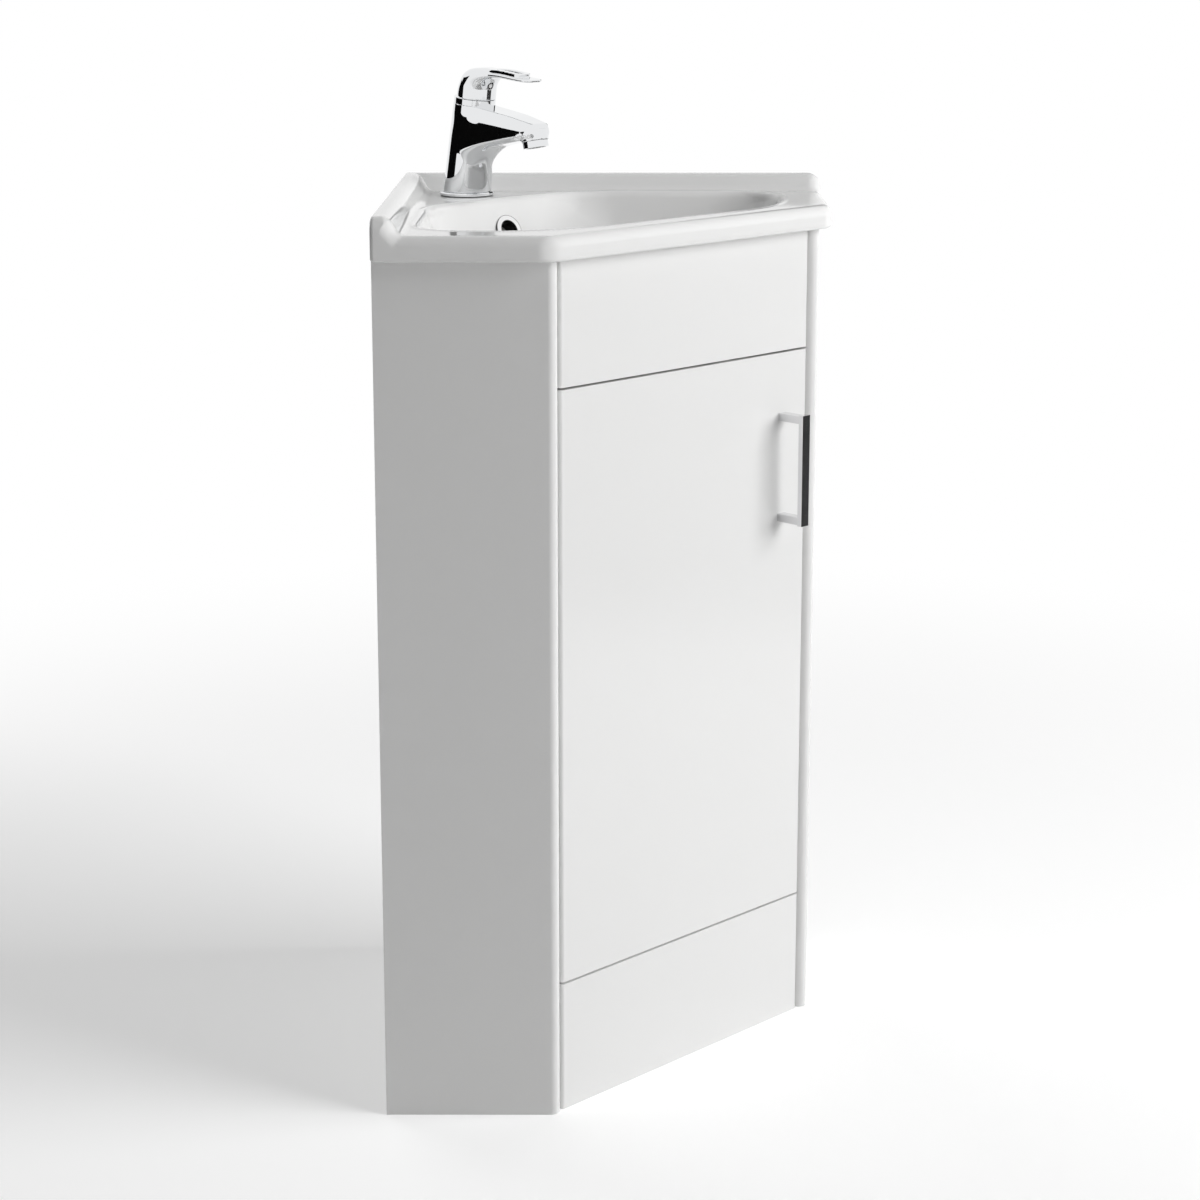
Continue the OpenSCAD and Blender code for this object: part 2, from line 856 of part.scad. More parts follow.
// Waterway inside the duct, drawn from the side as [distance from the room corner, depth below the deck]
module duct_way() {
    path = [
        [122, 42], [122, 18], [132, 18], [156, bowl_depth - 14],
        [waste_d - 10, bowl_depth + 12], [waste_d - 10, bowl_depth + 19],
        [waste_d - 20, bowl_depth + 19], [146, bowl_depth - 2]
    ];
    from_corner() translate([-duct_w / 2, 0, 0]) rotate([90, 0, 90])
        linear_extrude(duct_w) polygon([for (p = path) [-p[0], deck_z - p[1]]]);
}

module basin() {
    color(ceramic) difference() {
        union() {
            difference() {
                plan_block(rim_h, rim_round);
                at_corner() translate([0, 0, cabinet_h - over])
                    linear_extrude(rim_h - deck_t + over) polygon([[26, -26], [160, -26], [26, -160]]);
            }
            intersection() {
                both_sides() upstand();
                plan_block(rim_h + upstand_h, 10);
            }
            bowl(bowl_wall, -over);
            duct_cover();
            at_waste() translate([0, 0, -boss_deep]) cylinder(r = boss_r, h = boss_deep);
        }
        bowl(0, over);
        bowl_mouth();
        duct_way();
        at_tap() translate([0, 0, -rim_h]) cylinder(d = tap_hole_d, h = rim_h + over);
        at_overflow() translate([0, -30, 0]) along_y(overflow_d / 2, 54);
        at_waste() {
            translate([0, 0, -boss_deep - over]) cylinder(d = waste_hole_d, h = boss_deep + 2 * over);
            translate([0, 0, -waste_recess]) cylinder(r = flange_r + 1.5, h = waste_recess + over);
        }
    }
}

// Origin where the overflow's centre line meets the bowl's sloping back wall, y square into the wall
module at_overflow() {
    from_corner() translate([0, -overflow_wall_d, deck_z - overflow_drop]) rotate([-back_slope, 0, 0])
        children();
}

// Flanged ring pushed into the overflow hole
module overflow_ring() {
    color(chrome) at_overflow() translate([0, -seat_gap - ring_flange, 0]) difference() {
        union() {
            along_y(ring_r, ring_flange);
            along_y(overflow_d / 2 - hole_fit, ring_flange + ring_deep);
        }
        translate([0, -over, 0]) along_y(overflow_d / 2 - 1.5, ring_deep + ring_flange + 2 * over);
    }
}

// ---- Tap ----------------------------------------------------------------------------------------

module tap_gasket() {
    color(rubber) at_tap() ring(base_ring_d / 2 - 1, base_ring_in, gasket_t);
}

module tap_base_ring() {
    color(chrome) at_tap() translate([0, 0, gasket_t]) difference() {
        union() {
            cylinder(r = base_ring_d / 2, h = base_ring_h - 1);
            translate([0, 0, base_ring_h - 1])
                cylinder(r1 = base_ring_d / 2, r2 = base_ring_d / 2 - 1, h = 1);
        }
        translate([0, 0, -over]) cylinder(r = base_ring_in, h = base_ring_h + 2 * over);
    }
}

// Origin at the centre of the aerator's outlet, z up along its axis
module at_aerator() {
    at_tap() translate([0, -aerator_reach, aerator_bottom_z]) rotate([-aerator_tilt, 0, 0]) children();
}

// Leaning column that carries the head
module body_column() {
    hull() {
        at_tap() translate([0, 0, body_z]) cylinder(r = waist_r, h = waist_h, $fn = 64);
        at_head() translate([0, 0, -collar_h - head_h]) cylinder(r = head_r, h = head_h, $fn = 64);
    }
}

// Spout: deep and rounded at the column, thin and flat at its tip
module body_spout() {
    tip_r = 4;
    tip_w = 28.6;
    tip_h = 10.5;
    at_tap() {
        hull() {
            for (x = [-10, 10]) for (z = [58, 79])
                translate([x, -22, z]) sphere(r = 8.5, $fn = 24);
            for (x = [-1, 1])
                translate([x * (tip_w / 2 - tip_r), tip_r - spout_reach, 73 - tip_h])
                    cylinder(r = tip_r, h = tip_h, $fn = 24);
        }
        hull() {
            translate([0, -10, 34]) sphere(r = 13, $fn = 32);
            translate([0, -44, 61]) sphere(r = 8, $fn = 32);
            translate([0, -14, 62]) sphere(r = 14, $fn = 32);
        }
    }
    at_aerator() translate([0, 0, housing_h - housing_in]) cylinder(r = aerator_r + 0.8, h = 7);
}

module tap_body() {
    color(chrome) difference() {
        union() {
            body_column();
            body_spout();
        }
        at_head() {
            cylinder_between(cartridge_r + hole_fit, cartridge_low - grout, over);
            cylinder_between(head_r + over, -collar_h, head_h);
        }
        at_aerator() translate([0, 0, housing_h - housing_in - over])
            cylinder(r = housing_neck_r + hole_fit, h = housing_in + 1.2 + over);
        at_tap() {
            translate([0, -aerator_reach + 2, 67.2]) along_y(2.8, aerator_reach - 26);
            translate([0, stud_y, body_z - over]) cylinder(r = stud_r + hole_fit, h = stud_in + over);
            for (x = [-inlet_x, inlet_x])
                translate([x, inlet_y, body_z - over]) cylinder(r = inlet_r, h = inlet_deep + over);
        }
    }
}

module aerator_housing() {
    color(chrome) at_aerator() difference() {
        union() {
            cylinder(r = aerator_r, h = housing_h - housing_in - grout);
            translate([0, 0, 1]) cylinder(r = housing_neck_r, h = housing_h - 1);
        }
        translate([0, 0, -over]) cylinder(r = housing_way_r, h = housing_h + 2 * over);
    }
}

// Flow straightener: a disc with a grid of square ways through it
module aerator_screen() {
    pitch = 2.6;
    color(plastic) at_aerator() translate([0, 0, 1.2]) difference() {
        cylinder(r = housing_way_r - hole_fit, h = 2);
        for (i = [-2:2]) for (j = [-2:2])
            translate([(i - 0.35) * pitch, (j - 0.35) * pitch, -over])
                cube([0.7 * pitch, 0.7 * pitch, 2 + 2 * over]);
    }
}

// Ceramic-disc cartridge: its case with a bore in which the lever's carrier turns
module tap_cartridge() {
    color(plastic) at_head() difference() {
        union() {
            cylinder_between(cartridge_r, cartridge_low, cartridge_top);
            cylinder_between(neck_r, cartridge_top - over, neck_top);
        }
        cylinder_between(carrier_r + run_fit, carrier_low - run_fit, 0);
    }
}

module cartridge_nut() {
    color(steel) at_head() difference() {
        cylinder_between(cartridge_r, cartridge_top, neck_top + grout);
        cylinder_between(neck_r + hole_fit, cartridge_top - over, 0);
        for (a = [0:60:300]) rotate([0, 0, a])
            translate([cartridge_r - 1.5, -1.5, neck_top - 2]) cube([3, 3, 4]);
    }
}

// Collar under the lever: a plain band, and above it a dome centred on the lever's pivot
module tap_collar() {
    color(chrome) at_head() difference() {
        union() {
            cylinder_between(cap_r, -collar_h, 0);
            intersection() {
                sphere(r = dome_r);
                cylinder_between(dome_r + over, 0, dome_r);
            }
        }
        cylinder_between(dome_hole_r, -collar_h - over, dome_r + over);
    }
}

// Turning carrier: it swivels in the cartridge and holds the lever's pivot pin
module lever_carrier() {
    color(plastic) at_head() difference() {
        cylinder_between(carrier_r, carrier_low, carrier_top);
        translate([-spindle_w / 2 - grout, -carrier_r - over, carrier_low + 2.5])
            cube([spindle_w + 2 * grout, 2 * carrier_r + 2 * over, carrier_top - carrier_low]);
        translate([-carrier_r - over, 0, 0]) rotate([0, 90, 0])
            cylinder(r = pin_r, h = 2 * carrier_r + 2 * over);
    }
}

module lever_pivot_pin() {
    color(steel) at_head() translate([-carrier_r + 0.4, 0, 0]) rotate([0, 90, 0])
        cylinder(r = pin_r, h = 2 * carrier_r - 0.8);
}

module lever_spindle() {
    color(steel) at_head() difference() {
        translate([-spindle_w / 2, -spindle_w / 2, spindle_low])
            cube([spindle_w, spindle_w, spindle_top - spindle_low]);
        translate([-spindle_w, 0, 0]) rotate([0, 90, 0]) cylinder(r = pin_r + run_fit, h = 2 * spindle_w);
    }
}

// Rounded cap, and the blade that rises from its front
module lever_solid() {
    rotate_extrude() polygon(concat([[0, head_gap], [cap_r, head_gap]], arc([0, cap_z], cap_r, 0, 90, 10)));
    hull() {
        translate([0, -3, blade_z - 6]) cylinder(r = 12, h = 7, $fn = 32);
        translate([0, -30, blade_z + 1.5]) cylinder(r = 11.5, h = 4, $fn = 32);
        for (x = [-6.5, 6.5]) translate([x, tip_y + 6, blade_z + 2.5 + blade_rise])
            cylinder(r = 5.5, h = 2.6, $fn = 32);
    }
    hull() {
        translate([0, -8, 10]) cylinder(r = 11, h = 2, $fn = 32);
        translate([0, -18, blade_z - 1]) cylinder(r = 10, h = 3, $fn = 32);
    }
}

module tap_lever() {
    slot_from = -34;
    slot_to = -60;
    slot_r = 4.2;
    color(chrome) at_head() difference() {
        lever_solid();
        sphere(r = dome_r + 0.5);
        translate([-spindle_w / 2 - hole_fit, -spindle_w / 2 - hole_fit, 0])
            cube([spindle_w + 2 * hole_fit, spindle_w + 2 * hole_fit, spindle_top + hole_fit]);
        rotate([lift, 0, 0]) translate([-40, 0, head_gap - 40]) cube([80, 60, 40]);
        translate([0, slot_from, 0]) cylinder(r = slot_r, h = 60);
        translate([0, slot_to, 0]) cylinder(r = slot_r, h = 60);
        translate([-slot_r, slot_to, 0]) cube([2 * slot_r, slot_from - slot_to, 60]);
        translate([0, -40, index_z]) along_y(index_r + hole_fit, 24);
        translate([0, -40, index_z]) along_y(grub_r + hole_fit, 40);
    }
}

module lever_screw() {
    color(steel) at_head() translate([0, -15.5, index_z]) difference() {
        along_y(grub_r, 11.4);
        translate([0, -over, 0]) rotate([-90, 0, 0]) cylinder(r = 1.4, h = 4, $fn = 6);
    }
}

module index_plug() {
    color(index_grey) at_head() translate([0, -20.2, index_z]) along_y(index_r, 3.6);
}

module fixing_stud() {
    color(steel) at_tap() translate([0, stud_y, 0])
        cylinder_between(stud_r, -stud_below, body_z + stud_in - grout);
}

// Horseshoe washer that clamps the deck from below
module horseshoe_washer() {
    color(steel) at_tap() translate([0, 0, -deck_t - washer_t]) difference() {
        cylinder(r = washer_r, h = washer_t);
        translate([-14, 0, -over]) cube([28, 30, washer_t + 2 * over]);
        translate([0, stud_y, -over]) cylinder(r = stud_r + hole_fit, h = washer_t + 2 * over);
    }
}

module fixing_nut() {
    color(steel) at_tap() translate([0, stud_y, -deck_t - washer_t - nut_h]) difference() {
        cylinder(r = 7.5, h = nut_h, $fn = 6);
        translate([0, 0, -over]) cylinder(r = stud_r + hole_fit, h = nut_h + 2 * over);
    }
}

// ---- Waste --------------------------------------------------------------------------------------

module waste_seal_upper() {
    color(rubber) at_waste() translate([0, 0, -waste_recess])
        ring(flange_r - 1, waste_hole_d / 2, upper_seal_t);
}

// Flange, body and tail in one piece, with slots for the overflow's water and a groove under the nut
module waste_flange() {
    low = -boss_deep - tail_len;
    nut_low = -boss_deep - lower_seal_t - waste_nut_h;
    color(chrome) at_waste() difference() {
        union() {
            translate([0, 0, flange_top - flange_t]) cylinder(r = flange_r, h = flange_t);
            translate([0, 0, low]) cylinder(r = tail_r, h = flange_top - low - 1);
            translate([0, 0, seat_z - 3]) cylinder(r = tail_r + 1.5, h = 4);
        }
        translate([0, 0, low - over]) cylinder(r = way_r, h = flange_top - low + 2 * over);
        translate([0, 0, seat_z]) cylinder(r = seat_r, h = seat_deep + over);
        translate([-duct_w / 2, -tail_r - over, -20]) cube([duct_w, 2 * tail_r + 2 * over, 9]);
        translate([0, 0, nut_low - 2 * relief_w]) ring(tail_r + 1, tail_r - relief_deep, relief_w);
    }
}

module waste_seal_lower() {
    color(rubber) at_waste() translate([0, 0, -boss_deep - lower_seal_t])
        ring(boss_r - 3, tail_r + waste_fit, lower_seal_t);
}

module waste_nut() {
    color(plastic) at_waste() translate([0, 0, -boss_deep - lower_seal_t - waste_nut_h]) difference() {
        cylinder(r = boss_r - 2, h = waste_nut_h, $fn = 8);
        translate([0, 0, -over]) cylinder(r = tail_r + hole_fit, h = waste_nut_h + 2 * over);
    }
}

// Cross inside the waste whose hub guides the plug's stem
module waste_spider() {
    color(steel) at_waste() translate([0, 0, spider_z]) difference() {
        union() {
            cylinder(r = stem_r + 3, h = spider_h);
            for (a = [0, 60, 120]) rotate([0, 0, a])
                translate([-way_r + hole_fit, -1.2, 0]) cube([2 * (way_r - hole_fit), 2.4, spider_h]);
        }
        translate([0, 0, -over]) cylinder(r = stem_r + run_fit, h = spider_h + 2 * over);
    }
}

module plug_cap() {
    color(chrome) at_waste() translate([0, 0, seat_z + plug_seal_t + seat_gap]) difference() {
        union() {
            cylinder(r = plug_r, h = plug_t - plug_edge);
            translate([0, 0, plug_t - plug_edge]) cylinder(r1 = plug_r, r2 = plug_r - 2, h = plug_edge);
        }
        translate([0, 0, -over]) cylinder(r = stem_r / 2 + hole_fit, h = over + plug_bite);
    }
}

module plug_seal() {
    color(rubber) at_waste() translate([0, 0, seat_z + seat_gap])
        ring(plug_r - 1, stem_r + hole_fit, plug_seal_t);
}

module plug_stem() {
    top = seat_z + plug_seal_t + seat_gap;
    color(steel) at_waste() {
        cylinder_between(stem_r, spider_z - plug_travel - stem_low, top);
        cylinder_between(stem_r / 2, top - over, top + plug_bite - grout);
    }
}

// ---- Pieces -------------------------------------------------------------------------------------

left_return_panel();
right_return_panel();
left_back_panel();
right_back_panel();
base_panel();
front_rail();
shelf();
shelf_pins();
fascia_panel();
plinth_panel();
corner_blocks();
block_screws();
wall_brackets();
bracket_screws();
door_panel();
door_handle();
handle_screws();
door_bumpers();
hinge_cups();
hinge_pins();
hinge_arms();
hinge_plates();
hinge_cup_screws();
hinge_plate_screws();
hinge_arm_screws();
basin();
overflow_ring();
tap_gasket();
tap_base_ring();
tap_body();
tap_cartridge();
cartridge_nut();
tap_collar();
lever_carrier();
lever_pivot_pin();
lever_spindle();
tap_lever();
lever_screw();
index_plug();
aerator_housing();
aerator_screen();
fixing_stud();
horseshoe_washer();
fixing_nut();
waste_flange();
waste_seal_upper();
waste_seal_lower();
waste_nut();
waste_spider();
plug_cap();
plug_stem();
plug_seal();
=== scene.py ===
"""Corner vanity unit: materials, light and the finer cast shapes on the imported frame."""

import json
import math

import bpy
import numpy as np
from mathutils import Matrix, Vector


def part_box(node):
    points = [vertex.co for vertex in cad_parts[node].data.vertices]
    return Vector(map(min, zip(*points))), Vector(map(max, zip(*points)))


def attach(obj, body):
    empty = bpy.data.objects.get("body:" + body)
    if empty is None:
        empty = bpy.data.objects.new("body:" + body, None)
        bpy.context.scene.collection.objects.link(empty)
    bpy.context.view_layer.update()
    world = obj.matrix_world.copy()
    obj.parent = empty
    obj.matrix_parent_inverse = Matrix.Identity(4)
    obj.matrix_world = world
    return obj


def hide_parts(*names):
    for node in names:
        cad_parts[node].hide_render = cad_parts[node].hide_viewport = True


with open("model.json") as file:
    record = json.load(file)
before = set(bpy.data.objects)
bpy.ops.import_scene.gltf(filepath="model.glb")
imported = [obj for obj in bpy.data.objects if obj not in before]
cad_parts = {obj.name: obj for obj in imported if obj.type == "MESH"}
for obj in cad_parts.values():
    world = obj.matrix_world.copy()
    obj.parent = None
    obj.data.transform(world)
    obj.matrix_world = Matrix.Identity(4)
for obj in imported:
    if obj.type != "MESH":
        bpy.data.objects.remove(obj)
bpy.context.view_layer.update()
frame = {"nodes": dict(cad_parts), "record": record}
MM = 0.001


# ---------------------------------------------------------------- camera

LENS_MM = 78.23
CAMERA_AT = (-1.6810, -1.7509, 1.0493)
CAMERA_YAW = math.radians(44.9)
CAMERA_PITCH = math.radians(12.047)
CAMERA_SHIFT_Y = -0.10  # more would push the unit out of the other views


def add_camera():
    """Camera at the photograph's side and height."""
    data = bpy.data.cameras.new("camera")
    data.lens = LENS_MM
    data.sensor_width = 36
    data.shift_y = CAMERA_SHIFT_Y
    data.clip_start, data.clip_end = 0.05, 400
    camera = bpy.data.objects.new("camera", data)
    camera.location = CAMERA_AT
    camera.rotation_euler = (math.pi / 2 - CAMERA_PITCH, 0, -CAMERA_YAW)
    bpy.context.scene.collection.objects.link(camera)
    bpy.context.scene.camera = camera


# ---------------------------------------------------------------- light and stage

AMBIENT = 0.135
KEY_LAMP = {"at": (1.88, -3.25, 2.3), "size": 3.0, "power": 151}
BACK_LAMP = {"at": (0.4, 3.2, 1.7), "size": 2.6, "power": 38}
TOP_LAMP = {"at": (-0.5, -0.2, 3.4), "size": 1.6, "power": 4}
LAMPS_AIM = (0, 0, 0.4)
FLOOR_SIZE = 120
FLOOR_COLOUR = (0.93, 0.93, 0.93, 1)
FLOOR_LIFT = 0.3
FLOOR_CLEAR = (0.75, 1.9)
BLACK, DARK_GREY = 0.004, 0.10
CARD_FACES = 12
SIDE_CARD = {"centre": (0, 0.11), "radius": 1.5, "turn": (-172, -116), "low": 0.3, "high": 1.26}
FRONT_CARD = {"centre": (0.127, -0.2), "radius": 1.3, "turn": (25, 62), "low": 0.05, "high": 0.75}
FAR_CARD = {"centre": (0, 0.11), "radius": 1.7, "turn": (95, 120), "low": 1.2, "high": 1.9}


def link(tree, out_node, out_name, in_node, in_name):
    tree.links.new(out_node.outputs[out_name], in_node.inputs[in_name])


def math_node(tree, operation, first, second):
    """Math on two values, each a plain number or a node with the name of its output."""
    node = tree.nodes.new("ShaderNodeMath")
    node.operation = operation
    for n, value in enumerate((first, second)):
        if isinstance(value, tuple):
            link(tree, *value, node, n)
        else:
            node.inputs[n].default_value = value
    return node


def white_light(tree, kind, strength=1):
    """A white Background or Emission node."""
    node = tree.nodes.new("ShaderNode" + kind)
    node.inputs["Color"].default_value = (1, 1, 1, 1)
    node.inputs["Strength"].default_value = strength
    return node


def direct_rays(tree):
    """The light-path node, and a node that is 1 for camera and mirror rays and 0 for others."""
    path = tree.nodes.new("ShaderNodeLightPath")
    either = math_node(tree, "MAXIMUM", (path, "Is Camera Ray"), (path, "Is Glossy Ray"))
    return path, either


def add_world():
    """White for camera, mirror and glass rays; a softer plain level for the light it gives."""
    world = bpy.data.worlds.new("studio")
    bpy.context.scene.world = world
    world.use_nodes = True
    tree = world.node_tree
    tree.nodes.clear()
    path, either = direct_rays(tree)
    every = math_node(tree, "MAXIMUM", (either, "Value"), (path, "Is Transmission Ray"))
    mix = tree.nodes.new("ShaderNodeMixShader")
    link(tree, every, "Value", mix, "Fac")
    link(tree, white_light(tree, "Background", AMBIENT), "Background", mix, 1)
    link(tree, white_light(tree, "Background"), "Background", mix, 2)
    out = tree.nodes.new("ShaderNodeOutputWorld")
    link(tree, mix, "Shader", out, "Surface")


def add_lamp(name, at, size, power):
    """Soft square lamp that lights the object without showing in its polish."""
    data = bpy.data.lights.new(name, "AREA")
    data.shape = "SQUARE"
    data.size = size
    data.energy = power
    lamp = bpy.data.objects.new(name, data)
    lamp.location = at
    aim = Vector(LAMPS_AIM) - Vector(at)
    lamp.rotation_euler = aim.to_track_quat("-Z", "Y").to_euler()
    lamp.visible_glossy = False
    bpy.context.scene.collection.objects.link(lamp)


def floor_fade(tree):
    """A node that is 0 on the floor near the object, and 1 further out."""
    place = tree.nodes.new("ShaderNodeTexCoord")
    far = tree.nodes.new("ShaderNodeVectorMath")
    far.operation = "LENGTH"
    link(tree, place, "Object", far, 0)
    fade = tree.nodes.new("ShaderNodeMapRange")
    fade.interpolation_type = "SMOOTHSTEP"
    fade.inputs["From Min"].default_value = FLOOR_CLEAR[0]
    fade.inputs["From Max"].default_value = FLOOR_CLEAR[1]
    link(tree, far, "Value", fade, "Value")
    return fade


def floor_near(tree, direct):
    """Matt floor, with a little light of its own for camera and mirror rays."""
    matt = tree.nodes.new("ShaderNodeBsdfDiffuse")
    matt.inputs["Color"].default_value = FLOOR_COLOUR
    lift = white_light(tree, "Emission")
    raised = math_node(tree, "MULTIPLY", (direct, "Value"), FLOOR_LIFT)
    link(tree, raised, "Value", lift, "Strength")
    near = tree.nodes.new("ShaderNodeAddShader")
    link(tree, matt, "BSDF", near, 0)
    link(tree, lift, "Emission", near, 1)
    return near


def floor_material():
    """Pale floor that keeps the object's shadow and fades to the plain backdrop further out."""
    material = bpy.data.materials.new("floor")
    material.use_nodes = True
    tree = material.node_tree
    tree.nodes.clear()
    direct = direct_rays(tree)[1]
    faded = math_node(tree, "MULTIPLY", (floor_fade(tree), "Result"), (direct, "Value"))
    mix = tree.nodes.new("ShaderNodeMixShader")
    link(tree, faded, "Value", mix, "Fac")
    link(tree, floor_near(tree, direct), "Shader", mix, 1)
    link(tree, white_light(tree, "Emission"), "Emission", mix, 2)
    out = tree.nodes.new("ShaderNodeOutputMaterial")
    link(tree, mix, "Shader", out, "Surface")
    return material


def plane(name, corners):
    """One flat face through the given corners."""
    mesh = bpy.data.meshes.new(name)
    mesh.from_pydata(corners, [], [list(range(len(corners)))])
    piece = bpy.data.objects.new(name, mesh)
    bpy.context.scene.collection.objects.link(piece)
    return piece


def add_floor():
    """Floor that reaches the horizon in every view."""
    half = FLOOR_SIZE / 2
    floor = plane("floor", [(-half, -half, 0), (half, -half, 0), (half, half, 0), (-half, half, 0)])
    floor.data.materials.append(floor_material())


def card_material(name, level):
    """Plain matt grey, without any shine of its own."""
    material = bpy.data.materials.new(name)
    material.use_nodes = True
    shader = material.node_tree.nodes["Principled BSDF"]
    shader.inputs["Base Color"].default_value = (level, level, level, 1)
    shader.inputs["Roughness"].default_value = 1
    shader.inputs["Specular IOR Level"].default_value = 0
    return material


def add_card(name, material, centre, radius, turn, low, high):
    """Curved card round a point, from one turn in degrees to another, seen only as a reflection."""
    points, faces = [], []
    for n in range(CARD_FACES + 1):
        angle = math.radians(turn[0] + (turn[1] - turn[0]) * n / CARD_FACES)
        x = centre[0] + radius * math.sin(angle)
        y = centre[1] - radius * math.cos(angle)
        points += [(x, y, low), (x, y, high)]
    for n in range(CARD_FACES):
        faces.append((2 * n, 2 * n + 2, 2 * n + 3, 2 * n + 1))
    mesh = bpy.data.meshes.new(name)
    mesh.from_pydata(points, [], faces)
    mesh.materials.append(material)
    card = bpy.data.objects.new(name, mesh)
    bpy.context.scene.collection.objects.link(card)
    card.visible_camera = False
    card.visible_diffuse = False
    card.visible_shadow = False
    card.visible_transmission = False


def add_cards():
    """The studio's dark flags: behind on the left, low at the front right, high on the right."""
    black, grey = card_material("black_card", BLACK), card_material("grey_card", DARK_GREY)
    add_card("side_card", black, **SIDE_CARD)
    add_card("front_card", grey, **FRONT_CARD)
    add_card("far_card", black, **FAR_CARD)


# ---------------------------------------------------------------- materials

CHROME = (0.80, 0.81, 0.82)


def surface(name, colour, roughness, metallic=0.0, coat=0.0, grain=400.0, height=0.02, wear=0.0):
    """Procedural surface: a fine bump, and a little unevenness in how it shines."""
    material = bpy.data.materials.new(name)
    material.use_nodes = True
    tree = material.node_tree
    shader = tree.nodes["Principled BSDF"]
    shader.inputs["Base Color"].default_value = (*colour, 1)
    shader.inputs["Roughness"].default_value = roughness
    shader.inputs["Metallic"].default_value = metallic
    shader.inputs["Coat Weight"].default_value = coat
    shader.inputs["Coat Roughness"].default_value = 0.04
    place = tree.nodes.new("ShaderNodeTexCoord")
    noise = tree.nodes.new("ShaderNodeTexNoise")
    noise.inputs["Scale"].default_value = grain
    noise.inputs["Detail"].default_value = 3
    link(tree, place, "Object", noise, "Vector")
    bump = tree.nodes.new("ShaderNodeBump")
    bump.inputs["Strength"].default_value = height
    bump.inputs["Distance"].default_value = 0.001
    link(tree, noise, "Fac", bump, "Height")
    link(tree, bump, "Normal", shader, "Normal")
    if wear:
        spread = tree.nodes.new("ShaderNodeMapRange")
        spread.inputs["To Min"].default_value = max(0.0, roughness - wear)
        spread.inputs["To Max"].default_value = roughness + wear
        link(tree, noise, "Fac", spread, "Value")
        link(tree, spread, "Result", shader, "Roughness")
    return material


LOOKS = {
    "white_board": surface("gloss_white_board", (0.84, 0.84, 0.835), 0.16, grain=160, height=0.03),
    "carcass_board": surface("matt_white_board", (0.80, 0.80, 0.785), 0.42, grain=900, height=0.1),
    "ceramic": surface("glazed_ceramic", (0.86, 0.86, 0.855), 0.07, coat=0.25, grain=60, height=0.02),
    "chrome": surface("polished_chrome", CHROME, 0.03, metallic=1.0, grain=50, height=0.004),
    "steel": surface("zinc_plated_steel", (0.60, 0.61, 0.62), 0.3, metallic=1.0, grain=500,
                     height=0.06, wear=0.06),
    "rubber": surface("black_rubber", (0.025, 0.025, 0.025), 0.6, grain=700, height=0.15),
    "plastic": surface("white_plastic", (0.78, 0.78, 0.76), 0.38, grain=600, height=0.06),
    "index": surface("polished_grey", (0.50, 0.51, 0.53), 0.08, metallic=1.0, grain=300, height=0.01),
}
HANDLE_LOOK = surface("satin_chrome", (0.70, 0.70, 0.71), 0.10, metallic=1.0, grain=300, height=0.01)
SOFT_EDGES = {"door_panel": 0.7, "fascia_panel": 0.7, "plinth_panel": 0.7, "door_handle": 0.6}
SLOTS = {part["node"]: part["material_slot"] for part in frame["record"]["subparts"]}


def painted_light_rings(name, metallic, axis_at, turn, reach, rings):
    """Painted light and shade in rings round a piece's own leaning axis: its bore, its face, its groove.
    """
    material = surface(name, CHROME, 0.05, metallic=metallic, grain=50, height=0.004)
    tree = material.node_tree
    shader = tree.nodes["Principled BSDF"]
    place = tree.nodes.new("ShaderNodeTexCoord")
    turned = tree.nodes.new("ShaderNodeMapping")
    turned.vector_type = "TEXTURE"
    turned.inputs["Location"].default_value = (0, axis_at[0] * MM, axis_at[1] * MM)
    turned.inputs["Rotation"].default_value = (turn, 0, 0)
    flat = tree.nodes.new("ShaderNodeVectorMath")
    flat.operation = "MULTIPLY"
    flat.inputs[1].default_value = (1, 0, 1)
    far = tree.nodes.new("ShaderNodeVectorMath")
    far.operation = "LENGTH"
    ramp = tree.nodes.new("ShaderNodeValToRGB")
    spread = tree.nodes.new("ShaderNodeMapRange")
    spread.inputs["From Min"].default_value = reach[0] * MM
    spread.inputs["From Max"].default_value = reach[1] * MM
    link(tree, place, "Object", turned, "Vector")
    link(tree, turned, "Vector", flat, 0)
    link(tree, flat, "Vector", far, 0)
    link(tree, far, "Value", spread, "Value")
    link(tree, spread, "Result", ramp, "Fac")
    marks = ramp.color_ramp.elements
    for at, level in rings[1:-1]:
        marks.new(at).color = (level, level, level, 1)
    for mark, (at, level) in ((marks[0], rings[0]), (marks[-1], rings[-1])):
        mark.position, mark.color = at, (level, level, level, 1)
    link(tree, ramp, "Color", shader, "Base Color")
    return material


def overflow_look():
    """Chrome ring with painted shade on its outer edge and in its bore, which is painted near black as if
    unlit.
    """
    # Painted shade: near black in the bore, dark on the outer edge; the face between is pale chrome.
    rings = ((0.10, 0.012), (0.22, 0.83), (0.80, 0.83), (0.93, 0.10))
    reach = (OVERFLOW_R - 2, OVERFLOW_R + 4.5)
    return painted_light_rings("overflow_chrome_painted_shade", 1.0, (OVERFLOW_Y, OVERFLOW_Z), -OVERFLOW_TILT, reach, rings)


def index_look():
    """Pale dot, a painted reflection, with painted shade in the dark groove round it, as the photograph
    shows it.
    """
    # Painted reflection: pale in the middle; painted shade: near black in the groove, mid grey at its
    # rim.
    rings = ((0.56, 0.82), (0.68, 0.02), (0.90, 0.02), (0.98, 0.40))
    axis_at = (HEAD_Y - INDEX_H * math.sin(HEAD_LEAN), HEAD_Z + INDEX_H * math.cos(HEAD_LEAN))
    return painted_light_rings("index_dot_painted_reflection_and_shade", 0.0, axis_at, HEAD_LEAN, (0, INDEX_R), rings)


